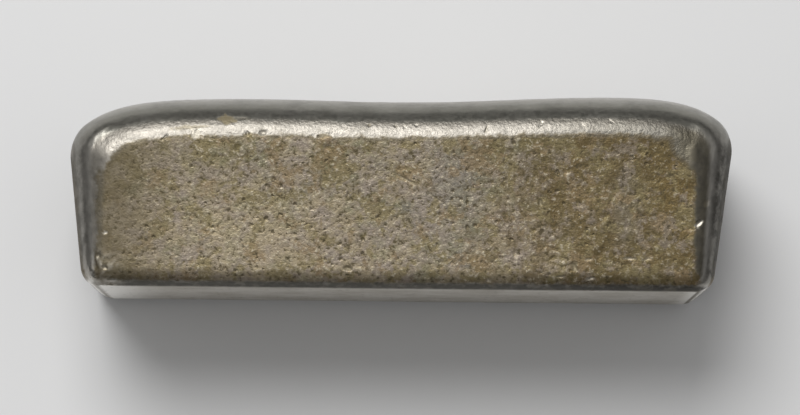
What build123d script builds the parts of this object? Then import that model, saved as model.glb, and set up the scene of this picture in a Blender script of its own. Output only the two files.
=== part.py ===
"""A hand-poured silver bar: one casting from an open, drafted ingot mould.

The bar is modelled as it was cast, with the mould floor down and the poured face up, and is then
laid on one long side. Lengths are in millimetres and angles in degrees.
"""

import os
from math import exp, radians, tan

from build123d import *

# Mould cavity: its floor, and the walls that lean out from it
floor_length = 62.9
floor_width = 23.0
left_end_draft = 6.5
right_end_draft = 8.0
side_draft = 5.0
floor_corner_radius = 2.3
corner_draft = 9.0
floor_edge_radius = 2.0

# Poured face: molten silver doesn't wet the mould, so its level falls off towards the walls
pour_height = 19.9
pour_slope = 0.9
end_fall = 5.0
left_end_reach = 3.4
right_end_reach = 3.2
side_fall = 2.3
side_reach = 2.9
shoulder_radius = 3.9

# The middle sinks as the metal shrinks
sink_depth = 1.3
sink_position = 2.0
sink_half_length = 12.0
sink_half_width = 9.0

# The cavity is modelled a little deeper and the poured face a little wider than the metal
brim_margin = 1.5
face_points_along = 41
face_points_across = 21


def wall_offset(draft, height):
    """How far a wall has moved outwards at a height above the mould floor."""
    return height * tan(radians(draft))


def cavity_bounds(height):
    """Left end, right end and half width of the cavity at a height above the mould floor."""
    left = -floor_length / 2 - wall_offset(left_end_draft, height)
    right = floor_length / 2 + wall_offset(right_end_draft, height)
    return left, right, floor_width / 2 + wall_offset(side_draft, height)


def cavity_outline(height):
    """The cavity's level section: a rectangle whose corner radius grows towards the brim."""
    left, right, half_width = cavity_bounds(height)
    corner_radius = floor_corner_radius + wall_offset(corner_draft, height)
    return Pos((left + right) / 2, 0, height) * RectangleRounded(right - left, 2 * half_width, corner_radius)


def wall(lower_edge, upper_edge):
    """One flat wall or one coned corner between two sections."""
    if lower_edge.geom_type == GeomType.LINE:
        return Face(Wire.make_polygon([lower_edge @ 0, lower_edge @ 1, upper_edge @ 1, upper_edge @ 0]))
    return Face.make_surface_from_curves(lower_edge, upper_edge)


def cavity():
    """The mould's inside: drafted walls, coned corners and a rounded edge around the floor."""
    floor = cavity_outline(0)
    brim = cavity_outline(pour_height + brim_margin)
    walls = [wall(lower, upper) for lower, upper in zip(floor.edges(), brim.edges())]
    inside = Solid(Shell([floor.face(), brim.face(), *walls]))
    return fillet(inside.faces().sort_by(Axis.Z)[0].edges(), floor_edge_radius)


def pour_level(x, y):
    """Height of the poured face: its slope, the sunk middle and the fall towards the four walls."""
    left, right, half_width = cavity_bounds(pour_height)
    fall = end_fall * (exp((left - x) / left_end_reach) + exp((x - right) / right_end_reach))
    fall += side_fall * (exp((y - half_width) / side_reach) + exp((-y - half_width) / side_reach))
    sink = sink_depth * exp(-(((x - sink_position) / sink_half_length) ** 2) - (y / sink_half_width) ** 2)
    return pour_height + x * tan(radians(pour_slope)) - fall - sink


def metal():
    """Everything below the poured face."""
    left, right, half_width = cavity_bounds(pour_height + brim_margin)
    rows = []
    for j in range(face_points_across):
        y = half_width * (2 * j / (face_points_across - 1) - 1)
        columns = [left + (right - left) * i / (face_points_along - 1) for i in range(face_points_along)]
        rows.append([(x, y, pour_level(x, y)) for x in columns])
    face = Face.make_surface_from_array_of_points(rows, tol=0.002, min_deg=3, max_deg=3)
    return Solid.extrude(face, Vector(0, 0, -2 * pour_height))


def poured_bar():
    """The casting as it comes from the mould."""
    bar = cavity() & metal()
    poured_face = bar.faces().sort_by(Axis.Z)[-1]
    return fillet(poured_face.edges(), shoulder_radius)


def laid_on_side(bar):
    """The bar on one long side, the poured face away from the viewer, centred over the origin."""
    turned = Rot(side_draft - 90, 0, 0) * bar
    box = turned.bounding_box(optimal=True)
    return Pos(-box.center().X, -box.center().Y, -box.min.Z) * turned


os.makedirs("parts", exist_ok=True)
export_step(laid_on_side(poured_bar()), "parts/silver_bar.step")
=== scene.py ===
"""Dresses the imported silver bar: cast relief, nicks and tarnish, on a pale floor in soft light."""

import math
import random
from collections import namedtuple

import bmesh
import bpy
import numpy as np
from mathutils import Matrix, Vector, noise
from mathutils.bvhtree import BVHTree
from mathutils.kdtree import KDTree


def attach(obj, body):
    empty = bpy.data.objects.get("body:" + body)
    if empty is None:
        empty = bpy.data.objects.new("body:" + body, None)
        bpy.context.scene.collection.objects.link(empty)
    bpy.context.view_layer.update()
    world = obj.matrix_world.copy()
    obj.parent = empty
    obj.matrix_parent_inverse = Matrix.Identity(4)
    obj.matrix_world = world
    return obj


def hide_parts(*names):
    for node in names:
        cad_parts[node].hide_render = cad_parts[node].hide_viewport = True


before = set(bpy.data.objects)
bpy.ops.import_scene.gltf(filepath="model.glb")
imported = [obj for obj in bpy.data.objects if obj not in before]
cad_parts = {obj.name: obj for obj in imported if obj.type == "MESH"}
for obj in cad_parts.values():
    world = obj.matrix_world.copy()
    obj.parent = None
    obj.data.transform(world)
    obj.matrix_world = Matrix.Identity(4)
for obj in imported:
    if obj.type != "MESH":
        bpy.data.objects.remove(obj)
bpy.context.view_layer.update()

MM = 0.001
NODE = "silver_bar"
PIECE = "cast_bar"
SEED = 11

# Camera, in millimetres and degrees, and the photograph's frame in pixels
PHOTO_WIDTH = 800
PHOTO_HEIGHT = 415
FOCAL_PIXELS = 4035.0
SENSOR_WIDTH = 36.0
AIM = Vector((-0.08, -2.87, 24.49))
CAMERA_DISTANCE = 400.0
CAMERA_ELEVATION = 80.0
CAMERA_ROLL = 0.627
CLIP_NEAR = 10.0
CLIP_FAR = 10000.0

# Light: one broad soft lamp behind the bar to the left, and a dim room that darkens to its horizon
LAMP_AZIMUTH = 23.0
LAMP_ZENITH = 28.3
LAMP_DISTANCE = 600.0
LAMP_DIAMETER = 360.0
LAMP_WATTS = 2.85
ROOM_LOW = 0.07
ROOM_HIGH = 0.66
ROOM_RISE = (0.15, 0.95)
FLOOR_SIZE = 2400.0
FLOOR_COLOUR = (0.68, 0.68, 0.68, 1.0)
FLOOR_ROUGHNESS = 0.9
FLOOR_SPECULAR = 0.1

# The mesh of the casting's skin, in millimetres, and the cosine that tells its flat faces apart
VOXEL = 0.285
WELD = 0.0001
FACE_MIN_AREA = 60.0
SAME_WAY = 0.5

# The marks' borders, and how much finer the mesh is under them
MARK_CUTS = 2
MARK_MARGIN = 1.25
WIDEST_FINE_MARK = 0.8
MARK_RAGGEDNESS = 0.8
MARK_RAGGED_SCALE = 0.3
MARK_FADE = (0.35, 1.0)
MARK_POWER = 1.5
SHORTEST_SIDE = 0.3

# The mould-cast faces: how far round each edge their roughness runs, in degrees, and how it fades
SHOULDER_LIMIT = 3.5
SHOULDER_FADE = 3.5
UPRIGHT_LIMITS = (13.0, 5.0)
UPRIGHT_FADES = (18.0, 7.0)
FLOOR_EDGE_LIMIT = 36.0
FLOOR_EDGE_FADE = 20.0
FLOOR_FACE_SHARE = 0.4
FLOOR_FACE_FROM = 45.0
BORDER_RAGGEDNESS = 3.5
BORDER_SCALE = 1.6
BORDER_FINE_SCALE = 0.6
BORDER_SOFTENING = 3

# The rough patch of a long side has round upper corners, and the skin falls away outside them
PATCH_LEFT_PIXEL = (104, 139)
PATCH_RIGHT_PIXEL = (692, 139)
PATCH_CORNER = 4.5
PATCH_EDGE = (-0.3, 0.5)
PATCH_RAGGEDNESS = 0.6
CORNER_RATE = 0.075
CORNER_ENDS = (18.0, 44.0)

# The lower left corner is battered: its middle, reach and depth
BATTER_PIXEL = (97, 277)
BATTER_REACH = 3.4
BATTER_DEPTH = 0.26
BATTER_SCALE = 0.45
BATTER_BARE = 0.6
# How much of the painted shade the battered corner loses
BATTER_SHADE_LOSS = 0.8
BATTER_FADE = (0.3, 1.0)
BATTER_PEAKS = (0.5, 0.25)

# The rounded skin starts level with the rough faces, and the shoulder a little lower
FACE_LEVEL = 0.08
LEVEL_ENDS = (25.0, 55.0)
LEVEL_LOW_ENDS = (15.0, 50.0)
SHOULDER_SET = 0.09
SET_ENDS = (38.0, 62.0)
END_LEVEL = 0.5

# Past its first turn the shoulder falls away more steeply than a plain rounding, in millimetres
STEEP_START = 0.10
STEEP_FULL = 2.3
STEEP_END = 9.0
STEEP_RATE = 0.37
STEEP_POWER = 1.1
LEAST_LEAN = 0.1

# Past this turn, in degrees, the skin cooled freely and is smooth; before it, it is worn
SMOOTH_FROM = (24.0, 34.0)
SMOOTH_RAGGEDNESS = 3.0

# Round the mould-floor edge, in degrees: painted shade in the middle of the turn, standing for the dark
# room it reflects, and the pale face past it
PAINTED_SHADE_EARLY = 0.05
PAINTED_SHADE_EARLY_FROM = (4.0, 14.0)
PAINTED_SHADE_FROM = (38.0, 56.0)
PAINTED_SHADE_TO = (82.0, 88.0)
PAINTED_SHADE_UPWARD = (0.0, 0.12)
FLOOR_FACE_ENDS = (82.0, 88.0)
FLOOR_CORNER_FROM = (25.0, 55.0)
FLOOR_CORNER = (0.2, 0.5)

# The upright edges get painted shade too, standing for the dark room they reflect, more so at the right end
END_PAINTED_SHADE = (0.60, 0.80)
INNER_PAINTED_SHADE = 0.75
INNER_RISE = (4.0, 12.0)
INNER_FALL = (22.0, 34.0)
RIM_PAINTED_SHADE = (35.0, 47.0)

# Painted dark reflection over the middle of the shoulder's turn, in degrees: the darker far floor it
# reflects, painted on
DARK_REFLECTION_RISE = (17.0, 30.0)
DARK_REFLECTION_FALL = (55.0, 76.0)

# Relief, in millimetres: every depth is cut inwards from the casting's skin
POUR_ZERO = 10.5
SAG_DEPTH = 0.16
SAG_MIDDLE = 8.5
SAG_REACH = 9.0
WAVE_DEPTH = 0.05
WAVE_SCALE = 6.0
LUMP_DEPTH = 0.03
LUMP_SCALE = 1.1
GRAIN_DEPTH = 0.035
GRAIN_SCALE = 0.5
PIT_SCALE = 1.25
PIT_RADIUS = 0.3
PIT_DEPTH = 0.10
PIT_SMALLEST = 0.35
PIT_VARIETY = 3.7
SKIN_DEPTH = 0.025
SKIN_SCALE = 2.6
PEEL_DEPTH = 0.010
PEEL_SCALE = 0.9
RIPPLE_DEPTH = 0.022
RIPPLE_LENGTH = 1.7
RIPPLE_HEIGHT = 23.0
RIPPLE_STRETCH = 1.8
RIPPLE_WANDER = 2.6
RIPPLE_WANDER_SCALE = 8.0
POURED_FROM = (0.8, 0.97)
CALM_END = -29.0
CALM_REACH = 9.0
CALM_SHARE = 0.45
END_FACE_LOSS = 0.5
COARSE_END = 0.6
COARSE_FROM = (6.0, 22.0)
RIDGE_DEPTH = 0.09
RIDGE_SIZE = (0.8, 2.4)
EDGE_FROM = (4.0, 14.0)
EDGE_DEPTH = 0.10
EDGE_SCALE = 1.2
EDGE_FINE_DEPTH = 0.05
EDGE_FINE_SCALE = 0.5

# Marks seen in the photograph: pixel, half length and half width, depth, turn, bare metal and stain
Turn = namedtuple("Turn", "flat tilt shoulder floor_edge low")
Mark = namedtuple("Mark", "pixel length width depth turn bare stain")
MARKS = {
    "left_slit": Mark((164, 137), 0.50, 0.14, 0.14, 42, 0.0, 0.35),
    "cream_pock": Mark((195, 133), 0.60, 0.68, 0.06, 10, 0.5, 0.45),
    "brown_ledge": Mark((190, 126), 2.20, 0.20, 0.04, 4, 0.0, 0.55),
    "amber_blob": Mark((226, 118), 1.05, 0.62, 0.03, -4, 0.0, 1.0),
    "amber_tail": Mark((241, 117), 1.00, 0.24, 0.02, -4, 0.3, 0.4),
    "ring_pock": Mark((262, 132), 0.46, 0.40, 0.11, 0, 0.5, 0.5),
    "dark_pock": Mark((247, 133), 0.22, 0.34, 0.12, 10, 0.0, 0.3),
    "flat_dent": Mark((323, 135), 0.70, 0.34, 0.06, 8, 0.0, 0.4),
    "seam_pock": Mark((369, 124), 0.26, 0.22, 0.09, 0, 0.0, 0.4),
    "bead_dent_1": Mark((395, 125), 0.22, 0.30, 0.07, 30, 0.0, 0.2),
    "bead_dent_2": Mark((404, 126), 0.20, 0.34, 0.06, 40, 0.3, 0.0),
    "bead_dent_3": Mark((416, 124), 0.22, 0.34, 0.06, 50, 0.3, 0.0),
    "upright_nick": Mark((486, 128), 0.52, 0.13, 0.12, 66, 0.2, 0.4),
    "bright_flake": Mark((541, 123), 0.48, 0.24, 0.08, 50, 0.8, 0.0),
    "small_flake": Mark((583, 124), 0.24, 0.14, 0.05, 20, 0.8, 0.0),
    "short_scratch": Mark((611, 120), 0.50, 0.10, 0.06, -38, 0.7, 0.0),
    "end_dent": Mark((699, 223), 0.62, 0.26, 0.16, 34, 0.8, 0.0),
    "ring_mark": Mark((707, 203), 0.50, 0.50, 0.03, 0, 0.0, 0.2),
    "low_pit": Mark((347, 268), 0.55, 0.30, 0.22, 0, 0.0, 0.8),
    "right_pit": Mark((574, 266), 0.42, 0.62, 0.16, 20, 0.0, 0.7),
    "middle_pit": Mark((540, 202), 0.22, 0.36, 0.14, 0, 0.0, 0.7),
    "face_scratch": Mark((404, 178), 1.80, 0.14, 0.07, -27, 0.0, 0.5),
    "faint_scratch": Mark((433, 196), 1.50, 0.12, 0.05, -33, 0.0, 0.3),
    "edge_dent_1": Mark((590, 279), 0.48, 0.20, 0.10, 25, 0.45, 0.0),
    "edge_dent_2": Mark((560, 277), 0.60, 0.18, 0.06, 0, 0.2, 0.0),
    "edge_dent_3": Mark((488, 281), 0.30, 0.22, 0.08, 20, 0.3, 0.0),
    "edge_dent_4": Mark((546, 286), 0.22, 0.26, 0.06, 0, 0.3, 0.0),
    "tool_mark_1": Mark((589, 259), 0.60, 0.16, 0.06, 2, 0.2, 0.0),
    "tool_mark_2": Mark((629, 258), 0.75, 0.16, 0.07, 0, 0.25, 0.0),
    "tool_mark_3": Mark((646, 259), 0.60, 0.14, 0.06, 12, 0.2, 0.0),
    "corner_chip": Mark((86, 279), 1.10, 0.85, 0.20, 60, 0.3, 0.0),
    "corner_nick_1": Mark((97, 256), 0.55, 0.24, 0.08, 70, 0.15, 0.0),
    "corner_nick_2": Mark((104, 267), 0.34, 0.24, 0.10, -40, 0.3, 0.0),
    "corner_nick_3": Mark((110, 285), 0.34, 0.30, 0.14, 30, 0.5, 0.3),
    "left_fleck": Mark((105, 232), 0.30, 0.16, 0.05, 20, 0.8, 0.0),
}
HIDDEN_NICKS = 90
NICK_LENGTHS = (0.25, 0.9)
NICK_WIDTHS = (0.10, 0.28)
NICK_DEPTHS = (0.03, 0.11)
NICK_TURNS = (0, 180)
NICK_BARES = (0, 0.8)
NICK_MASK = 0.4
NICK_FACING = 0.1

# Colours of the silver and its tarnish
WORN_SILVER = (0.335, 0.312, 0.274, 1.0)
# Scuffs on the worn band, also used as painted shade along its upper edge
SCUFFS_AND_SHADE = (0.17, 0.155, 0.13, 1.0)
WORN_FILM = (0.205, 0.192, 0.165, 1.0)
SMOOTH_SKIN = (0.44, 0.42, 0.382, 1.0)
# Olive for the painted dark reflection on the shoulder's turn
PAINTED_DARK_REFLECTION = (0.27, 0.262, 0.228, 1.0)
PALE_SILVER = (0.60, 0.572, 0.525, 1.0)
CLOUD_GREY = (0.46, 0.43, 0.375, 1.0)
# Bright silver painted on the mould-floor face's ends as the lit floor's reflection
PAINTED_FLOOR_REFLECTION = (0.90, 0.88, 0.84, 1.0)
# Dust on the skin, and also the painted shade of the rounded edges; the next colour is that painted shade
# at the right end
DUST_AND_SHADE = (0.10, 0.095, 0.082, 1.0)
DEEP_PAINTED_SHADE = (0.062, 0.058, 0.05, 1.0)
BARE_SILVER = (0.46, 0.43, 0.37, 1.0)
TAN_GREY = (0.300, 0.249, 0.167, 1.0)
LILAC_GREY = (0.268, 0.225, 0.183, 1.0)
GREEN_GREY = (0.212, 0.194, 0.122, 1.0)
BROWN_SPOT = (0.175, 0.125, 0.065, 1.0)
OLIVE_TARNISH = (0.165, 0.135, 0.067, 1.0)
BROWN_FLECK = (0.225, 0.165, 0.092, 1.0)
WARM_FILM = (0.125, 0.101, 0.058, 1.0)
PALE_FILM = (0.185, 0.155, 0.104, 1.0)
OLIVE_FLECK = (0.21, 0.172, 0.088, 1.0)
OCHRE_TARNISH = (0.128, 0.092, 0.040, 1.0)
END_FILM = (0.135, 0.12, 0.085, 1.0)
SLATE_GREY = (0.172, 0.156, 0.128, 1.0)
BORDER_DARKENING = (0.115, 0.098, 0.068, 1.0)
DARK_RECESS = (0.09, 0.072, 0.04, 1.0)
# Pale cream painted on the grain's peaks as glints
PAINTED_GLINT = (0.42, 0.37, 0.275, 1.0)
AMBER_STAIN = (0.225, 0.19, 0.118, 1.0)

# Broad patches of tarnish: middle and reach along X and Y in millimetres, colour and share
Patch = namedtuple("Patch", "middle reach colour share")
PATCHES = {
    "light_tan": Patch((-15.0, -5.5), (11.0, 5.0), (0.37, 0.305, 0.20, 1.0), 0.6),
    "slate": Patch((5.5, -1.0), (4.5, 7.0), (0.205, 0.195, 0.17, 1.0), 0.5),
    "olive": Patch((-21.0, 2.0), (7.0, 2.5), (0.185, 0.16, 0.08, 1.0), 0.5),
    "ochre_left": Patch((17.5, -2.0), (2.2, 6.0), (0.175, 0.13, 0.06, 1.0), 0.6),
    "grey_gap": Patch((22.3, -2.5), (2.0, 5.5), (0.215, 0.19, 0.145, 1.0), 0.5),
    "ochre_right": Patch((27.0, -1.0), (3.0, 7.5), (0.158, 0.113, 0.045, 1.0), 0.72),
}

# Layers of cloudy colour: noise scale per metre, detail and roughness, the ramp's ends and the share
Layer = namedtuple("Layer", "colour scale detail rough low high share")
GROUND_LAYERS = {
    "lilac": Layer(LILAC_GREY, 480.0, 4.0, 0.65, 0.40, 0.62, 1.0),
    "green": Layer(GREEN_GREY, 270.0, 4.0, 0.65, 0.48, 0.66, 1.0),
    "slate": Layer(SLATE_GREY, 210.0, 4.0, 0.70, 0.54, 0.72, 1.0),
    "brown_spots": Layer(BROWN_SPOT, 760.0, 3.0, 0.60, 0.60, 0.70, 0.7),
}
FLECK_LAYERS = {
    "lilac": Layer(LILAC_GREY, 620.0, 4.0, 0.70, 0.50, 0.62, 0.6),
    "olive": Layer(OLIVE_FLECK, 390.0, 4.0, 0.70, 0.51, 0.60, 0.8),
    "brown": Layer(BROWN_FLECK, 340.0, 4.0, 0.70, 0.54, 0.63, 0.7),
}
FILM_LAYERS = {"pale": Layer(PALE_FILM, 470.0, 4.0, 0.70, 0.42, 0.58, 1.0)}
FLOOR_FACE_LAYERS = {
    "clouds": Layer(CLOUD_GREY, 240.0, 6.0, 0.70, 0.38, 0.68, 1.0),
    "flecks": Layer(CLOUD_GREY, 900.0, 4.0, 0.70, 0.45, 0.70, 0.5),
}
WORN_LAYERS = {"scuffs": Layer(SCUFFS_AND_SHADE, 900.0, 4.0, 0.70, 0.50, 0.70, 0.6)}
SKIN_LAYERS = {"dust": Layer(DUST_AND_SHADE, 420.0, 4.0, 0.65, 0.45, 0.70, 0.25)}

# Other noises of the material: scale per metre, detail and roughness
GRAIN_NOISE = (2200.0, 3.0, 0.7)
SPECK_NOISE = (2500.0, 2.0, 0.6)
# Patchiness of the painted dark reflection
DARK_REFLECTION_NOISE = (260.0, 3.0, 0.55)
RAGGED_NOISE = (1800.0, 2.0, 0.6)
PEEL_NOISE = (2600.0, 3.0, 0.65)
TARNISH_NOISE = (330.0, 4.0, 0.65)
STREAK_NOISE = (380.0, 4.0, 0.65)
PATCH_NOISE = (500.0, 4.0, 0.7)
# The noise that mottles the painted shade
PAINTED_SHADE_NOISE = (850.0, 4.0, 0.7)
STREAK_STRETCH = (1.0, 0.4, 0.4)

# Pin pits too small for the mesh: cells per metre, radii in cells, and a push in millimetres
PIN_SCALE = 1350.0
PIN_RADII = (0.02, 0.42)
PIN_SIZES = (0.5, 1.0)
PIN_FADE = (0.1, 1.0)
PIN_WARP_SCALE = 2500.0
PIN_WARP = 0.4

# Spans along the bar in X, and across it in Y, in millimetres
POUR_DARKENING_SPAN = (-8.0, 8.0)
OCHRE_SPAN = (-4.0, 33.0)
LEFT_FILM_SPAN = (-29.5, -20.5)
# Where the painted glints on the grain's peaks fade in at the left end and thin out to the right
LEFT_PALE_SPAN = (-29.0, -19.0)
RIGHT_PALE_SPAN = (10.0, 28.0)
CALM_SPAN = (-31.5, -23.5)
DULL_SPAN = (8.0, 24.0)
WORN_END_SPAN = (25.0, 28.5)
# Where the lit floor's reflection is painted on the mould-floor face's ends
LEFT_PAINTED_REFLECTION_SPAN = (-30.0, -23.5)
RIGHT_PAINTED_REFLECTION_SPAN = (28.0, 30.0)
BORDER_SPAN = (0.0, 3.0)

# Shares of the tarnish, and the ends of the ramps that shape it
HOLLOW_TARNISH = 0.35
POUR_DARKENING = (-0.15, 0.10)
TARNISH_RAMP = (0.10, 0.46)
STREAK_SHARE = 2.4
OCHRE_RAMP = (1.3, 2.3)
OCHRE_SHARE = 0.95
PATCH_RAGGED_SHARE = 1.6
PATCH_RAMP = (0.9, 1.9)
LEFT_FILM_SHARE = 0.85
# Shares and ramp of the painted glints on the grain's peaks
LEFT_PALE_SHARE = 0.15
PALE_SHARES = (0.9, 0.5)
PEAK_RAMP = (0.56, 0.68)
RECESS_RAMP = (0.47, 0.33)
RECESS_SHARE = 0.9
PIT_SHARE = 0.95
FLOOR_PIT_SHARE = 0.55
# Ramp and shares of the painted dark reflection's patchiness
DARK_REFLECTION_RAMP = (0.25, 0.6)
DARK_REFLECTION_SHARES = (0.7, 1.0)
WORN_END_SHARE = 0.8
# How much the painted dark reflection darkens the worn band's upper edge
DARK_REFLECTION_SCUFFS = 0.85
FACE_RAMP = (0.25, 0.75)
FACE_RAGGEDNESS = 0.9
BORDER_RAMP = (0.75, 1.0)
BORDER_SHARE = 0.8
# Ramp and shares of the painted shade's mottle
PAINTED_SHADE_RAMP = (0.38, 0.62)
PAINTED_SHADE_SHARES = (0.75, 1.2)

# Bump in millimetres
GRAIN_BUMP = 0.08
PIN_BUMP = 0.05
PEEL_BUMP = 0.07
SKIN_BUMP = 0.01
CALM_BUMP = 0.35

# Roughness of the worn and the smooth skin, what other states add to it, and what they take from the metal
WORN_ROUGHNESS = 0.42
SMOOTH_ROUGHNESS = 0.30
SPECK_RAMP = (0.3, 0.7)
SPECK_ROUGHNESS = 0.08
BARE_SHINE = 0.10
# Added roughness where shade is painted
PAINTED_SHADE_ROUGHNESS = 0.12
FLOOR_FACE_ROUGHNESS = 0.08
FACE_OXIDE = 0.2
STAIN_OXIDE = 0.6


def smoothstep(low, high, value):
    """0 below low, 1 above high and a smooth step between."""
    t = min(1.0, max(0.0, (value - low) / (high - low)))
    return t * t * (3 - 2 * t)


def camera_back():
    """The direction from the bar to the camera."""
    elevation = math.radians(CAMERA_ELEVATION)
    return Vector((0.0, -math.cos(elevation), math.sin(elevation)))


def camera_matrix():
    """The camera's place in metres: looking down past the near edge, turned a little about its axis."""
    place = Matrix.Translation((AIM + camera_back() * CAMERA_DISTANCE) * MM)
    turn = (-camera_back()).to_track_quat("-Z", "Y").to_matrix().to_4x4()
    return place @ turn @ Matrix.Rotation(math.radians(CAMERA_ROLL), 4, "Z")


def make_camera():
    data = bpy.data.cameras.new("camera")
    data.sensor_fit = "HORIZONTAL"
    data.sensor_width = SENSOR_WIDTH
    data.lens = FOCAL_PIXELS / PHOTO_WIDTH * SENSOR_WIDTH
    data.clip_start = CLIP_NEAR * MM
    data.clip_end = CLIP_FAR * MM
    camera = bpy.data.objects.new("camera", data)
    camera.matrix_world = camera_matrix()
    bpy.context.collection.objects.link(camera)
    bpy.context.scene.camera = camera


def skin_mesh(node):
    """A fine, even mesh of the casting's skin, each point put back on the skin it came from."""
    base = bpy.data.objects.new("skin_base", node.data.copy())
    bpy.context.collection.objects.link(base)
    clean = bmesh.new()
    clean.from_mesh(base.data)
    bmesh.ops.remove_doubles(clean, verts=clean.verts, dist=WELD * MM)
    clean.to_mesh(base.data)
    tree = BVHTree.FromBMesh(clean)
    clean.free()
    remesh = base.modifiers.new("fine", "REMESH")
    remesh.mode = "VOXEL"
    remesh.voxel_size = VOXEL * MM
    graph = bpy.context.evaluated_depsgraph_get()
    mesh = bpy.data.meshes.new_from_object(base.evaluated_get(graph))
    bpy.data.objects.remove(base)
    for vertex in mesh.vertices:
        vertex.co = tree.find_nearest(vertex.co)[0]
    mesh.update()
    return mesh, tree


def refine(mesh, tree, marks):
    """Cuts the mesh finer under the small marks."""
    fine = bmesh.new()
    fine.from_mesh(mesh)
    fine.faces.ensure_lookup_table()
    finder = KDTree(len(fine.faces))
    for face in fine.faces:
        finder.insert(face.calc_center_median() / MM, face.index)
    finder.balance()
    edges = set()
    for centre, normal, mark in marks:
        along, across = mark_axes(normal, mark)
        reach = MARK_MARGIN * max(mark.length, mark.width)
        for place, index, _ in finder.find_range(centre, reach if mark.width < WIDEST_FINE_MARK else 0.0):
            offset = (place - centre) / MARK_MARGIN
            if mark_reach(offset, along, across, mark) < 1:
                edges.update(fine.faces[index].edges)
    cut = bmesh.ops.subdivide_edges(fine, edges=list(edges), cuts=MARK_CUTS, use_grid_fill=True)
    for part in cut["geom_inner"]:
        if isinstance(part, bmesh.types.BMVert):
            part.co = tree.find_nearest(part.co)[0]
    fine.to_mesh(mesh)
    fine.free()
    mesh.update()


def flat_normals(node):
    """The outward normals of the casting's flat faces, found by adding up facets that face one way."""
    areas = {}
    for polygon in node.data.polygons:
        key = tuple(round(c, 3) for c in polygon.normal)
        areas[key] = areas.get(key, 0.0) + polygon.area / MM**2
    return [Vector(key).normalized() for key, area in areas.items() if area > FACE_MIN_AREA]


def edge_turn(normal, flats, pour_up):
    """How far the skin has turned from its flat face, and its shares towards the two edges of the wall."""
    flat = min(flats, key=normal.angle)
    tilt = math.degrees(normal.angle(flat))
    if flat.dot(pour_up) < -SAME_WAY:
        return Turn(flat, tilt, 0.0, 1.0, 90.0 - tilt)
    up = (normal - flat * normal.dot(flat)).normalized().dot(pour_up)
    return Turn(flat, tilt, max(0.0, up), max(0.0, -up), tilt * max(0.0, -up))


def corner_depth(point, turn, patch, pour_up):
    """How deep inside the rounded upper corners of a long side's rough patch a point lies."""
    left, right, top = patch
    across = PATCH_CORNER - max(0.0, min(point.x - left, right - point.x))
    along = PATCH_CORNER - max(0.0, top - point.dot(pour_up))
    if abs(turn.flat.z) < SAME_WAY or across < 0 or along < 0:
        return PATCH_CORNER
    return PATCH_CORNER + PATCH_EDGE[1] - math.hypot(across, along)


def corner_fall(inside, turn):
    """Depth of the skin outside a rounded corner of the rough patch."""
    outside = max(0.0, PATCH_EDGE[1] - inside)
    return CORNER_RATE * outside**2 * (1 - smoothstep(*CORNER_ENDS, turn.tilt))


def roughness_mask(point, turn, inside):
    """1 on a flat wall, less on the mould-floor face and 0 on the rounded skin, with a ragged border."""
    upright = 1 - turn.shoulder - turn.floor_edge
    end = 0 if point.x < 0 else 1
    limit = turn.shoulder * SHOULDER_LIMIT + turn.floor_edge * FLOOR_EDGE_LIMIT
    limit += upright * UPRIGHT_LIMITS[end]
    fade = turn.shoulder * SHOULDER_FADE + turn.floor_edge * FLOOR_EDGE_FADE
    fade += upright * UPRIGHT_FADES[end]
    fine = (1 - turn.shoulder) * noise.noise(point / BORDER_FINE_SCALE)
    limit += BORDER_RAGGEDNESS * (noise.noise(point / BORDER_SCALE) * (2 - turn.shoulder) + fine)
    share = FLOOR_FACE_SHARE if turn.low > FLOOR_FACE_FROM else 1.0
    ragged = PATCH_RAGGEDNESS * noise.noise(point / BORDER_SCALE)
    rough = share * (1 - smoothstep(limit, limit + fade, turn.tilt))
    return rough * smoothstep(*PATCH_EDGE, inside + ragged)


def smoothness(point, turn):
    """1 on the freely cooled skin and 0 on the worn band beside the faces."""
    return smoothstep(*SMOOTH_FROM, turn.tilt + SMOOTH_RAGGEDNESS * noise.noise(point / BORDER_SCALE))


def rounding_depth(turn):
    """Depth of the rounded skin below the casting's plain rounding."""
    level = FACE_LEVEL * (1 - smoothstep(*LEVEL_ENDS, turn.tilt))
    level *= 1 - smoothstep(*LEVEL_LOW_ENDS, turn.low)
    set_in = SHOULDER_SET * (1 - smoothstep(*SET_ENDS, turn.tilt))
    long_side = 1 - turn.flat.x**2
    return level * (END_LEVEL + (1 - END_LEVEL) * long_side) + turn.shoulder * set_in * long_side


def steep_fall(point, normal, walls, pour_up):
    """How far the shoulder lies below a plain rounding, measured square to each wall it comes from."""
    shift = Vector()
    for flat, level in walls:
        drop = level - flat.dot(point)
        lean = normal - flat * normal.dot(flat)
        if STEEP_START < drop < STEEP_END and lean.length > LEAST_LEAN:
            fall = STEEP_RATE * (min(drop, STEEP_FULL) - STEEP_START) ** STEEP_POWER
            fall *= max(0.0, lean.normalized().dot(pour_up)) * (1 - smoothstep(STEEP_FULL, STEEP_END, drop))
            shift -= flat * fall
    return shift


def painted_shade_share(point, normal, turn):
    """Painted shade round the mould-floor edge where it faces up, and on the upright edges, standing for
    the dark room they reflect.
    """
    early = PAINTED_SHADE_EARLY * band(turn.low, PAINTED_SHADE_EARLY_FROM, PAINTED_SHADE_TO)
    low = max(early, band(turn.low, PAINTED_SHADE_FROM, PAINTED_SHADE_TO)) * smoothstep(*PAINTED_SHADE_UPWARD, normal.z)
    left, right = END_PAINTED_SHADE
    end = left if point.x < 0 else right
    upright = 1 - turn.shoulder - turn.floor_edge
    rim = smoothstep(*RIM_PAINTED_SHADE, math.degrees(normal.angle(Vector((0, 0, 1)))))
    return max(low, end * upright * max(rim, INNER_PAINTED_SHADE * band(turn.tilt, INNER_RISE, INNER_FALL)))


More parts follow.
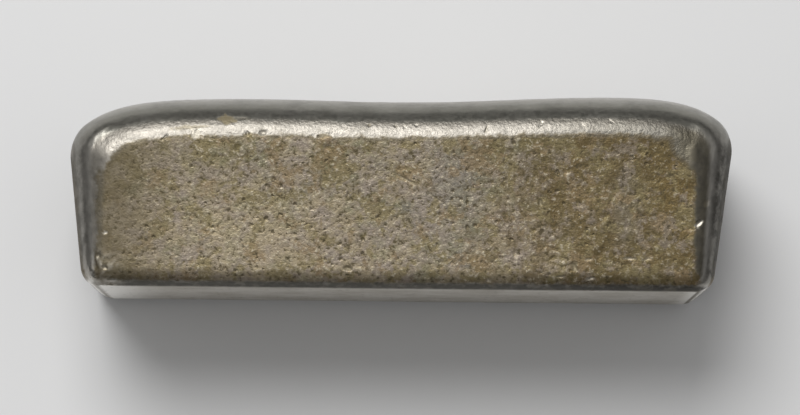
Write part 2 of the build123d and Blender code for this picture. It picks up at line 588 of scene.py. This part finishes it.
def floor_face_share(normal, turn):
    """1 on the mould-floor face and round its ends, 0 elsewhere."""
    # The lower corners take the mould-floor face's colours, with its painted reflection at the ends
    corner = smoothstep(*FLOOR_CORNER, abs(normal.x)) * (1 - smoothstep(*FLOOR_CORNER, normal.z))
    return max(smoothstep(*FLOOR_FACE_ENDS, turn.low), corner * smoothstep(*FLOOR_CORNER_FROM, turn.low))


def band(value, rise, fall):
    """0 outside a band and 1 inside it, with soft ends."""
    return smoothstep(*rise, value) * (1 - smoothstep(*fall, value))


def soften(values, mesh, rounds):
    """Averages each point's value with its neighbours' a few times."""
    ends = np.empty(len(mesh.edges) * 2, np.int64)
    mesh.edges.foreach_get("vertices", ends)
    first, second = ends[0::2], ends[1::2]
    count = np.bincount(ends, minlength=len(values))
    for _ in range(rounds):
        total = np.bincount(first, values[second], len(values))
        total += np.bincount(second, values[first], len(values))
        values = (values + total) / (count + 1)
    return values


def waves(point, scale):
    """Smooth noise from 0 to 1."""
    return 0.5 + 0.5 * noise.noise(point / scale)


def pit_depth(point):
    """Gas pits: round hollows about the nearest point of a loose cell pattern."""
    distances, centres = noise.voronoi(point / PIT_SCALE)
    size = 2 * abs(noise.noise(centres[0] * PIT_VARIETY))
    radius = PIT_RADIUS * (PIT_SMALLEST + (1 - PIT_SMALLEST) * size)
    return PIT_DEPTH * max(0.0, 1 - (distances[0] * PIT_SCALE / radius) ** 2)


def face_relief(point, flat, pour_up):
    """Depth of a mould-cast face below the skin, and the part of it that is grain."""
    height = point.dot(pour_up) + POUR_ZERO
    sag = SAG_DEPTH * max(0.0, 1 - ((height - SAG_MIDDLE) / SAG_REACH) ** 2) * (1 - flat.x**2)
    calm = CALM_SHARE + (1 - CALM_SHARE) * smoothstep(0.0, CALM_REACH, point.x - CALM_END)
    grain = LUMP_DEPTH * waves(point, LUMP_SCALE) + GRAIN_DEPTH * waves(point, GRAIN_SCALE)
    grain = calm * (grain + pit_depth(point)) * (1 + COARSE_END * smoothstep(*COARSE_FROM, point.x))
    across, tall = RIDGE_SIZE
    ridges = waves(Vector((point.x / across, point.y / tall, point.z / across)), 1.0)
    grain += RIDGE_DEPTH * smoothstep(*COARSE_FROM, point.x) * ridges
    return (sag + WAVE_DEPTH * waves(point, WAVE_SCALE) + grain) * (1 - END_FACE_LOSS * flat.x**2), grain


def skin_relief(point, normal, turn, pour_up):
    """Depth of the skin: slight unevenness, knocks on the mould's edges and ripples on the poured face."""
    depth = SKIN_DEPTH * waves(point, SKIN_SCALE) + PEEL_DEPTH * waves(point, PEEL_SCALE)
    knocks = EDGE_DEPTH * waves(point, EDGE_SCALE) + EDGE_FINE_DEPTH * waves(point, EDGE_FINE_SCALE)
    depth += knocks * (1 - turn.shoulder) * smoothstep(*EDGE_FROM, turn.tilt)
    poured = smoothstep(*POURED_FROM, normal.dot(pour_up))
    if poured > 0:
        phase = math.hypot(point.x, RIPPLE_STRETCH * point.z - RIPPLE_HEIGHT) / RIPPLE_LENGTH
        phase += RIPPLE_WANDER * noise.noise(point / RIPPLE_WANDER_SCALE)
        depth += poured * RIPPLE_DEPTH * (0.5 + 0.5 * math.sin(math.tau * phase))
    return depth


def pixel_hit(tree, pixel):
    """The point of the casting, in metres, that a pixel of the photograph shows, and its normal."""
    view = camera_matrix()
    across = (pixel[0] + 0.5 - PHOTO_WIDTH / 2) / FOCAL_PIXELS
    down = (pixel[1] + 0.5 - PHOTO_HEIGHT / 2) / FOCAL_PIXELS
    ray = view.to_3x3() @ Vector((across, -down, -1.0))
    place, normal, _, _ = tree.ray_cast(view.translation, ray.normalized())
    return place, normal


def patch_corners(tree, pour_up):
    """Left, right and top of the long side's rough patch, in millimetres."""
    left = pixel_hit(tree, PATCH_LEFT_PIXEL)[0] / MM
    right = pixel_hit(tree, PATCH_RIGHT_PIXEL)[0] / MM
    return left.x, right.x, left.dot(pour_up)


def batter(centre, points, depths, bares, painted_shade):
    """Small knocks crowded round a corner, which take away part of its painted shade."""
    for index, point in enumerate(points):
        near = 1 - smoothstep(*BATTER_FADE, (point - centre).length / BATTER_REACH)
        if near > 0:
            knock = waves(point, BATTER_SCALE)
            depths[index] += BATTER_DEPTH * near * knock**2
            bares[index] = max(bares[index], BATTER_BARE * near * smoothstep(*BATTER_PEAKS, knock))
            painted_shade[index] *= 1 - BATTER_SHADE_LOSS * near


def hidden_marks(points, normals, masks):
    """Nicks on the rounded skin that the photograph doesn't show, at random places."""
    draw = random.Random(SEED)
    marks = []
    while len(marks) < HIDDEN_NICKS:
        index = draw.randrange(len(points))
        length, width = draw.uniform(*NICK_LENGTHS), draw.uniform(*NICK_WIDTHS)
        depth, turn = draw.uniform(*NICK_DEPTHS), draw.uniform(*NICK_TURNS)
        if masks[index] < NICK_MASK and normals[index].dot(camera_back()) < NICK_FACING:
            mark = Mark(None, length, width, depth, turn, draw.uniform(*NICK_BARES), 0.0)
            marks.append((points[index], normals[index], mark))
    return marks


def mark_axes(normal, mark):
    """The directions of a mark's length and width on the skin."""
    side = Vector((1, 0, 0)) - normal * normal.x
    if side.length < SHORTEST_SIDE:
        side = Vector((0, 0, 1)) - normal * normal.z
    side.normalize()
    turn = math.radians(mark.turn)
    along = side * math.cos(turn) + normal.cross(side) * math.sin(turn)
    return along, normal.cross(along)


def mark_reach(offset, along, across, mark):
    """0 at a mark's middle and 1 at its border."""
    return (offset.dot(along) / mark.length) ** 2 + (offset.dot(across) / mark.width) ** 2


def cut_marks(marks, points, depths, bares, stains):
    """Adds each mark's hollow to the depths, and its bare metal or stain to those values."""
    finder = KDTree(len(points))
    for index, point in enumerate(points):
        finder.insert(point, index)
    finder.balance()
    for centre, normal, mark in marks:
        along, across = mark_axes(normal, mark)
        for place, index, _ in finder.find_range(centre, max(mark.length, mark.width)):
            reach = mark_reach(place - centre, along, across, mark)
            reach *= 1 + MARK_RAGGEDNESS * noise.noise(place / MARK_RAGGED_SCALE)
            if reach < 1:
                patch = 1 - smoothstep(*MARK_FADE, reach)
                depths[index] += mark.depth * (1 - reach) ** MARK_POWER
                bares[index] = max(bares[index], mark.bare * patch)
                stains[index] = max(stains[index], mark.stain * patch)


def add_attribute(mesh, name, values):
    attribute = mesh.attributes.new(name, "FLOAT", "POINT")
    attribute.data.foreach_set("value", np.array(values, np.float32))


def seen_marks(tree):
    """The photograph's marks, each with its place on the skin in millimetres and its normal."""
    marks = []
    for mark in MARKS.values():
        place, normal = pixel_hit(tree, mark.pixel)
        marks.append((place / MM, normal, mark))
    return marks


def relief(points, normals, turns, masks, inside, pour_up):
    """Each point's depth below the skin, and how deep in the grain it lies."""
    depths = np.zeros(len(points))
    hollows = np.zeros(len(points))
    for index, (point, normal, turn) in enumerate(zip(points, normals, turns)):
        face, grain = face_relief(point, turn.flat, pour_up)
        skin = skin_relief(point, normal, turn, pour_up) + rounding_depth(turn)
        depths[index] = masks[index] * face + (1 - masks[index]) * skin + corner_fall(inside[index], turn)
        hollows[index] = grain / (LUMP_DEPTH + GRAIN_DEPTH)
    return depths, hollows


def carve(mesh, points, normals, depths, flats, pour_up):
    """Moves each point in by its depth, and the shoulder by its steeper fall."""
    walls = [(flat, max(flat.dot(point) for point in points)) for flat in flats if abs(flat.z) > SAME_WAY]
    for vertex, point, normal, depth in zip(mesh.vertices, points, normals, depths):
        vertex.co = (point - normal * depth + steep_fall(point, normal, walls, pour_up)) * MM
    mesh.update()
    mesh.shade_smooth()


def make_bar(node):
    """The visible bar: the casting's skin with its relief, its marks and the values its material needs."""
    mesh, tree = skin_mesh(node)
    marks = seen_marks(tree)
    refine(mesh, tree, marks)
    flats = flat_normals(node)
    pour_up = -min(flats, key=lambda flat: flat.y)
    points = [vertex.co / MM for vertex in mesh.vertices]
    normals = [vertex.normal.copy() for vertex in mesh.vertices]
    turns = [edge_turn(normal, flats, pour_up) for normal in normals]
    patch = patch_corners(tree, pour_up)
    inside = [corner_depth(point, turn, patch, pour_up) for point, turn in zip(points, turns)]
    masks = [roughness_mask(*place) for place in zip(points, turns, inside)]
    masks = soften(np.array(masks), mesh, BORDER_SOFTENING)
    depths, hollows = relief(points, normals, turns, masks, inside, pour_up)
    # Painted shade for the rounded edges, which reflect the dark room
    painted_shade = [painted_shade_share(*place) for place in zip(points, normals, turns)]
    bares = np.zeros(len(points))
    stains = np.zeros(len(points))
    marks += hidden_marks(points, normals, masks)
    cut_marks(marks, points, depths, bares, stains)
    batter(pixel_hit(tree, BATTER_PIXEL)[0] / MM, points, depths, bares, painted_shade)
    carve(mesh, points, normals, depths, flats, pour_up)
    attributes = {
        "cast_face": masks,
        "hollow": hollows,
        "bare": bares,
        "stain": stains,
        "smooth": [smoothness(point, turn) for point, turn in zip(points, turns)],
        "crest": [turn.shoulder for turn in turns],
        # Where the shoulder's dark reflection is painted
        "film_and_dark_reflection": [turn.shoulder * band(turn.tilt, DARK_REFLECTION_RISE, DARK_REFLECTION_FALL) for turn in turns],
        "painted_shade": painted_shade,
        "floor_face": [floor_face_share(normal, turn) for normal, turn in zip(normals, turns)],
    }
    for name, values in attributes.items():
        add_attribute(mesh, name, values)
    mesh.name = PIECE
    mesh.materials.clear()
    mesh.materials.append(silver_material())
    bar = bpy.data.objects.new(PIECE, mesh)
    bpy.context.collection.objects.link(bar)
    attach(bar, "root")
    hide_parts(NODE)


class Nodes:
    """Short calls for building a material's nodes."""

    def __init__(self, material):
        material.use_nodes = True
        self.tree = material.node_tree
        self.tree.nodes.clear()

    def add(self, kind, inputs=None, **settings):
        node = self.tree.nodes.new("ShaderNode" + kind)
        for name, value in settings.items():
            setattr(node, name, value)
        for name, value in (inputs or {}).items():
            if isinstance(value, bpy.types.NodeSocket):
                self.tree.links.new(value, node.inputs[name])
            else:
                node.inputs[name].default_value = value
        return node

    def attribute(self, name):
        return self.add("Attribute", attribute_name=name).outputs["Fac"]

    def noise(self, place, scale, detail=2.0, rough=0.5):
        inputs = {"Vector": place, "Scale": scale, "Detail": detail, "Roughness": rough}
        return self.add("TexNoise", inputs).outputs["Fac"]

    def warp(self, place, scale, amount):
        """The place, pushed about by noise so that round patterns lose their roundness."""
        push = self.add("TexNoise", {"Vector": place, "Scale": scale}).outputs["Color"]
        push = self.add("VectorMath", {0: push, 1: (0.5, 0.5, 0.5)}, operation="SUBTRACT").outputs[0]
        inputs = {0: push, 1: (amount, amount, amount), 2: place}
        return self.add("VectorMath", inputs, operation="MULTIPLY_ADD").outputs[0]

    def ramp(self, value, low, high, to_low=0.0, to_high=1.0):
        inputs = {"Value": value, "From Min": low, "From Max": high, "To Min": to_low, "To Max": to_high}
        return self.add("MapRange", inputs, interpolation_type="SMOOTHSTEP").outputs["Result"]

    def span(self, axis, ends, to_low=0.0, to_high=1.0):
        """A ramp between two places on an axis, given in millimetres."""
        return self.ramp(axis, ends[0] * MM, ends[1] * MM, to_low, to_high)

    def math(self, operation, first, second):
        return self.add("Math", {0: first, 1: second}, operation=operation).outputs[0]

    def mix(self, factor, first, second):
        return self.add("Mix", {0: factor, 6: first, 7: second}, data_type="RGBA").outputs[2]


def layered(n, place, colour, layers):
    """A colour with layers of soft-edged clouds over it."""
    for layer in layers.values():
        cloud = n.noise(place, layer.scale, layer.detail, layer.rough)
        colour = n.mix(n.ramp(cloud, layer.low, layer.high, 0.0, layer.share), colour, layer.colour)
    return colour


def pin_pits(n, place):
    """1 at the middle of small pits of many sizes, 0 between them."""
    place = n.warp(place, PIN_WARP_SCALE, PIN_WARP * MM)
    cells = n.add("TexVoronoi", {"Vector": place, "Scale": PIN_SCALE})
    size = n.add("SeparateColor", {"Color": cells.outputs["Color"]}).outputs["Red"]
    reach = n.ramp(size, *PIN_SIZES, *PIN_RADII)
    return n.ramp(n.math("DIVIDE", cells.outputs["Distance"], reach), *PIN_FADE, 1.0, 0.0)


def patch_share(n, place, patch):
    """How much of a broad patch shows at a place: most in its middle, with a ragged border."""
    middle = tuple(value * MM for value in patch.middle)
    shrink = tuple(1 / (value * MM) for value in patch.reach)
    offset = n.add("VectorMath", {0: place, 1: (*middle, 0.0)}, operation="SUBTRACT").outputs[0]
    scaled = n.add("VectorMath", {0: offset, 1: (*shrink, 0.0)}, operation="MULTIPLY").outputs[0]
    far = n.add("VectorMath", {0: scaled}, operation="LENGTH").outputs["Value"]
    far = n.math("ADD", far, n.math("MULTIPLY", n.noise(place, *PATCH_NOISE), PATCH_RAGGED_SHARE))
    return n.ramp(far, *PATCH_RAMP, patch.share, 0.0)


def tarnish_share(n, place, across, hollow, grain):
    """Olive tarnish: most in the recesses, and the face darker and more olive towards the poured face."""
    tarnish = n.math("SUBTRACT", n.math("MULTIPLY", hollow, HOLLOW_TARNISH), grain)
    tarnish = n.math("ADD", tarnish, n.noise(place, *TARNISH_NOISE))
    tarnish = n.math("ADD", tarnish, n.span(across, POUR_DARKENING_SPAN, *POUR_DARKENING))
    return n.ramp(tarnish, *TARNISH_RAMP)


def ochre_share(n, place, along):
    """Ochre tarnish: upright streaks that grow denser to the right."""
    streaks = n.add("Mapping", {"Vector": place, "Scale": STREAK_STRETCH}).outputs["Vector"]
    streak = n.math("MULTIPLY", n.noise(streaks, *STREAK_NOISE), STREAK_SHARE)
    stained = n.math("ADD", n.span(along, OCHRE_SPAN), streak)
    return n.math("MULTIPLY", n.ramp(stained, *OCHRE_RAMP), OCHRE_SHARE)


def face_colour(n, place, hollow, grain, pits):
    """Mould-cast faces: greys under olive and ochre tarnish, with painted glints on the peaks, dark
    recesses and pits.
    """
    axes = n.add("SeparateXYZ", {"Vector": place})
    along = axes.outputs["X"]
    colour = layered(n, place, TAN_GREY, GROUND_LAYERS)
    colour = n.mix(tarnish_share(n, place, axes.outputs["Y"], hollow, grain), colour, OLIVE_TARNISH)
    colour = n.mix(ochre_share(n, place, along), colour, OCHRE_TARNISH)
    for patch in PATCHES.values():
        colour = n.mix(patch_share(n, place, patch), colour, patch.colour)
    colour = layered(n, place, colour, FLECK_LAYERS)
    film_and_dark_reflection = layered(n, place, WARM_FILM, FILM_LAYERS)
    colour = n.mix(n.span(along, LEFT_FILM_SPAN, LEFT_FILM_SHARE, 0.0), colour, film_and_dark_reflection)
    # Painted glints on the grain's peaks
    pale = n.span(along, LEFT_PALE_SPAN, LEFT_PALE_SHARE, 1.0)
    pale = n.math("MULTIPLY", pale, n.span(along, RIGHT_PALE_SPAN, *PALE_SHARES))
    pale = n.math("MULTIPLY", pale, n.ramp(grain, *PEAK_RAMP))
    colour = n.mix(pale, colour, PAINTED_GLINT)
    colour = n.mix(n.ramp(grain, *RECESS_RAMP, 0.0, RECESS_SHARE), colour, DARK_RECESS)
    return n.mix(n.math("MULTIPLY", pits, PIT_SHARE), colour, DARK_RECESS)


def floor_face_colour(n, place, along, pits):
    """The mould-floor face: pale silver with grey clouds and dark pits, and a painted reflection of the lit
    floor at its ends.
    """
    colour = layered(n, place, PALE_SILVER, FLOOR_FACE_LAYERS)
    # Painted reflection of the lit floor at the ends
    ends = n.math("ADD", n.span(along, LEFT_PAINTED_REFLECTION_SPAN, 1.0, 0.0), n.span(along, RIGHT_PAINTED_REFLECTION_SPAN))
    colour = n.mix(ends, colour, PAINTED_FLOOR_REFLECTION)
    return n.mix(n.math("MULTIPLY", pits, FLOOR_PIT_SHARE), colour, DARK_RECESS)


def skin_colour(n, place, along, smooth):
    """The rounded skin: worn silver beside the faces, and a smooth skin past it, with a painted dark
    reflection over the middle of the shoulder's turn.
    """
    # Painted dark reflection: the shoulder's turn is darker where it reflects the far floor, and the worn
    # band's upper edge is painted darker with it
    film_and_dark_reflection = n.attribute("film_and_dark_reflection")
    patchy = n.ramp(n.noise(place, *DARK_REFLECTION_NOISE), *DARK_REFLECTION_RAMP, *DARK_REFLECTION_SHARES)
    skin = n.mix(n.math("MULTIPLY", film_and_dark_reflection, patchy), SMOOTH_SKIN, PAINTED_DARK_REFLECTION)
    worn = n.mix(n.span(along, DULL_SPAN), WORN_SILVER, WORN_FILM)
    worn = n.mix(n.span(along, WORN_END_SPAN, 0.0, WORN_END_SHARE), worn, END_FILM)
    worn = n.mix(n.math("MULTIPLY", film_and_dark_reflection, DARK_REFLECTION_SCUFFS), worn, SCUFFS_AND_SHADE)
    worn = layered(n, place, worn, WORN_LAYERS)
    return layered(n, place, n.mix(smooth, worn, skin), SKIN_LAYERS)


def cast_border(n, across):
    """Darker along the border of the rough face, towards the poured face only."""
    border = n.ramp(n.attribute("cast_face"), *BORDER_RAMP, BORDER_SHARE, 0.0)
    return n.math("MULTIPLY", border, n.span(across, BORDER_SPAN))


def bar_colour(n, place, face, smooth, grain, pits):
    """Faces, skin and mould-floor face, under painted shade, stains and bare metal."""
    axes = n.add("SeparateXYZ", {"Vector": place})
    along = axes.outputs["X"]
    floor_face = n.attribute("floor_face")
    skin = n.mix(floor_face, skin_colour(n, place, along, smooth), floor_face_colour(n, place, along, pits))
    cast = face_colour(n, place, n.attribute("hollow"), grain, pits)
    cast = n.mix(cast_border(n, axes.outputs["Y"]), cast, BORDER_DARKENING)
    colour = n.mix(n.math("MULTIPLY", face, n.math("SUBTRACT", 1.0, floor_face)), skin, cast)
    # Painted shade on the rounded edges, mottled and darker to the right, standing for the dark room they
    # reflect
    shade_colour = n.mix(n.span(along, DULL_SPAN), DUST_AND_SHADE, DEEP_PAINTED_SHADE)
    mottle = n.ramp(n.noise(place, *PAINTED_SHADE_NOISE), *PAINTED_SHADE_RAMP, *PAINTED_SHADE_SHARES)
    colour = n.mix(n.math("MULTIPLY", n.attribute("painted_shade"), mottle), colour, shade_colour)
    colour = n.mix(n.attribute("stain"), colour, AMBER_STAIN)
    return n.mix(n.attribute("bare"), colour, BARE_SILVER)


def bar_roughness(n, place, smooth):
    """Smooth skin and bare metal are shinier than worn skin; the painted shade and the mould-floor face are
    duller.
    """
    speck = n.noise(place, *SPECK_NOISE)
    rough = n.ramp(smooth, 0.0, 1.0, WORN_ROUGHNESS, SMOOTH_ROUGHNESS)
    rough = n.math("ADD", rough, n.ramp(speck, *SPECK_RAMP, 0.0, SPECK_ROUGHNESS))
    rough = n.math("SUBTRACT", rough, n.math("MULTIPLY", n.attribute("bare"), BARE_SHINE))
    rough = n.math("ADD", rough, n.math("MULTIPLY", n.attribute("painted_shade"), PAINTED_SHADE_ROUGHNESS))
    return n.math("ADD", rough, n.math("MULTIPLY", n.attribute("floor_face"), FLOOR_FACE_ROUGHNESS))


def surface_height(n, place, face, smooth, grain, pits):
    """Fine relief in metres: grain and pin pits on the faces, a coarse peel on the worn band."""
    along = n.add("SeparateXYZ", {"Vector": place}).outputs["X"]
    sharp = n.math("MULTIPLY", n.math("SUBTRACT", grain, 0.5), GRAIN_BUMP * MM)
    sharp = n.math("SUBTRACT", sharp, n.math("MULTIPLY", pits, PIN_BUMP * MM))
    sharp = n.math("MULTIPLY", sharp, n.span(along, CALM_SPAN, CALM_BUMP, 1.0))
    peel = n.math("SUBTRACT", n.noise(place, *PEEL_NOISE), 0.5)
    rough_skin = n.math("MULTIPLY", n.attribute("crest"), n.ramp(smooth, 0.0, 1.0, PEEL_BUMP * MM, 0.0))
    peel = n.math("MULTIPLY", peel, n.math("ADD", rough_skin, SKIN_BUMP * MM))
    height = n.math("MULTIPLY", sharp, face)
    return n.math("ADD", height, n.math("MULTIPLY", peel, n.math("SUBTRACT", 1.0, face)))


def silver_material():
    material = bpy.data.materials.new("tarnished_silver")
    n = Nodes(material)
    place = n.add("TexCoord").outputs["Object"]
    smooth = n.attribute("smooth")
    grain = n.noise(place, *GRAIN_NOISE)
    pits = pin_pits(n, place)
    ragged = n.math("MULTIPLY", n.math("SUBTRACT", n.noise(place, *RAGGED_NOISE), 0.5), FACE_RAGGEDNESS)
    face = n.ramp(n.math("ADD", n.attribute("cast_face"), ragged), *FACE_RAMP)
    colour = bar_colour(n, place, face, smooth, grain, pits)
    rough = bar_roughness(n, place, smooth)
    metal = n.math("SUBTRACT", 1.0, n.math("MULTIPLY", face, FACE_OXIDE))
    metal = n.math("SUBTRACT", metal, n.math("MULTIPLY", n.attribute("stain"), STAIN_OXIDE))
    height = surface_height(n, place, face, smooth, grain, pits)
    bump = n.add("Bump", {"Height": height, "Strength": 1.0, "Distance": 1.0})
    shader = n.add("BsdfPrincipled", {"Base Color": colour, "Roughness": rough, "Metallic": metal})
    n.tree.links.new(bump.outputs["Normal"], shader.inputs["Normal"])
    n.add("OutputMaterial", {"Surface": shader.outputs["BSDF"]})
    return material


def floor_material():
    material = bpy.data.materials.new("pale_floor")
    n = Nodes(material)
    inputs = {"Base Color": FLOOR_COLOUR, "Roughness": FLOOR_ROUGHNESS}
    shader = n.add("BsdfPrincipled", {**inputs, "Specular IOR Level": FLOOR_SPECULAR})
    n.add("OutputMaterial", {"Surface": shader.outputs["BSDF"]})
    return material


def make_floor():
    half = FLOOR_SIZE / 2 * MM
    mesh = bpy.data.meshes.new("floor")
    corners = [(-half, -half, 0.0), (half, -half, 0.0), (half, half, 0.0), (-half, half, 0.0)]
    mesh.from_pydata(corners, [], [(0, 1, 2, 3)])
    mesh.materials.append(floor_material())
    floor = bpy.data.objects.new("floor", mesh)
    bpy.context.collection.objects.link(floor)


def lamp_direction():
    azimuth = math.radians(LAMP_AZIMUTH)
    zenith = math.radians(LAMP_ZENITH)
    across = math.sin(zenith)
    return Vector((-math.sin(azimuth) * across, math.cos(azimuth) * across, math.cos(zenith)))


def make_light():
    data = bpy.data.lights.new("soft_lamp", "AREA")
    data.shape = "DISK"
    data.size = LAMP_DIAMETER * MM
    data.energy = LAMP_WATTS
    lamp = bpy.data.objects.new("soft_lamp", data)
    lamp.location = lamp_direction() * LAMP_DISTANCE * MM
    lamp.rotation_mode = "QUATERNION"
    lamp.rotation_quaternion = (-lamp_direction()).to_track_quat("-Z", "Y")
    bpy.context.collection.objects.link(lamp)


def make_room():
    """Dim light from the room: brightest overhead, dark towards the horizon."""
    world = bpy.data.worlds.new("room")
    n = Nodes(world)
    place = n.add("TexCoord").outputs["Generated"]
    height = n.add("SeparateXYZ", {"Vector": place}).outputs["Z"]
    level = n.ramp(height, *ROOM_RISE, ROOM_LOW, ROOM_HIGH)
    background = n.add("Background", {"Strength": level})
    n.add("OutputWorld", {"Surface": background.outputs["Background"]})
    bpy.context.scene.world = world


make_camera()
make_floor()
make_light()
make_room()
make_bar(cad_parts[NODE])
bpy.context.scene.view_settings.view_transform = "Standard"
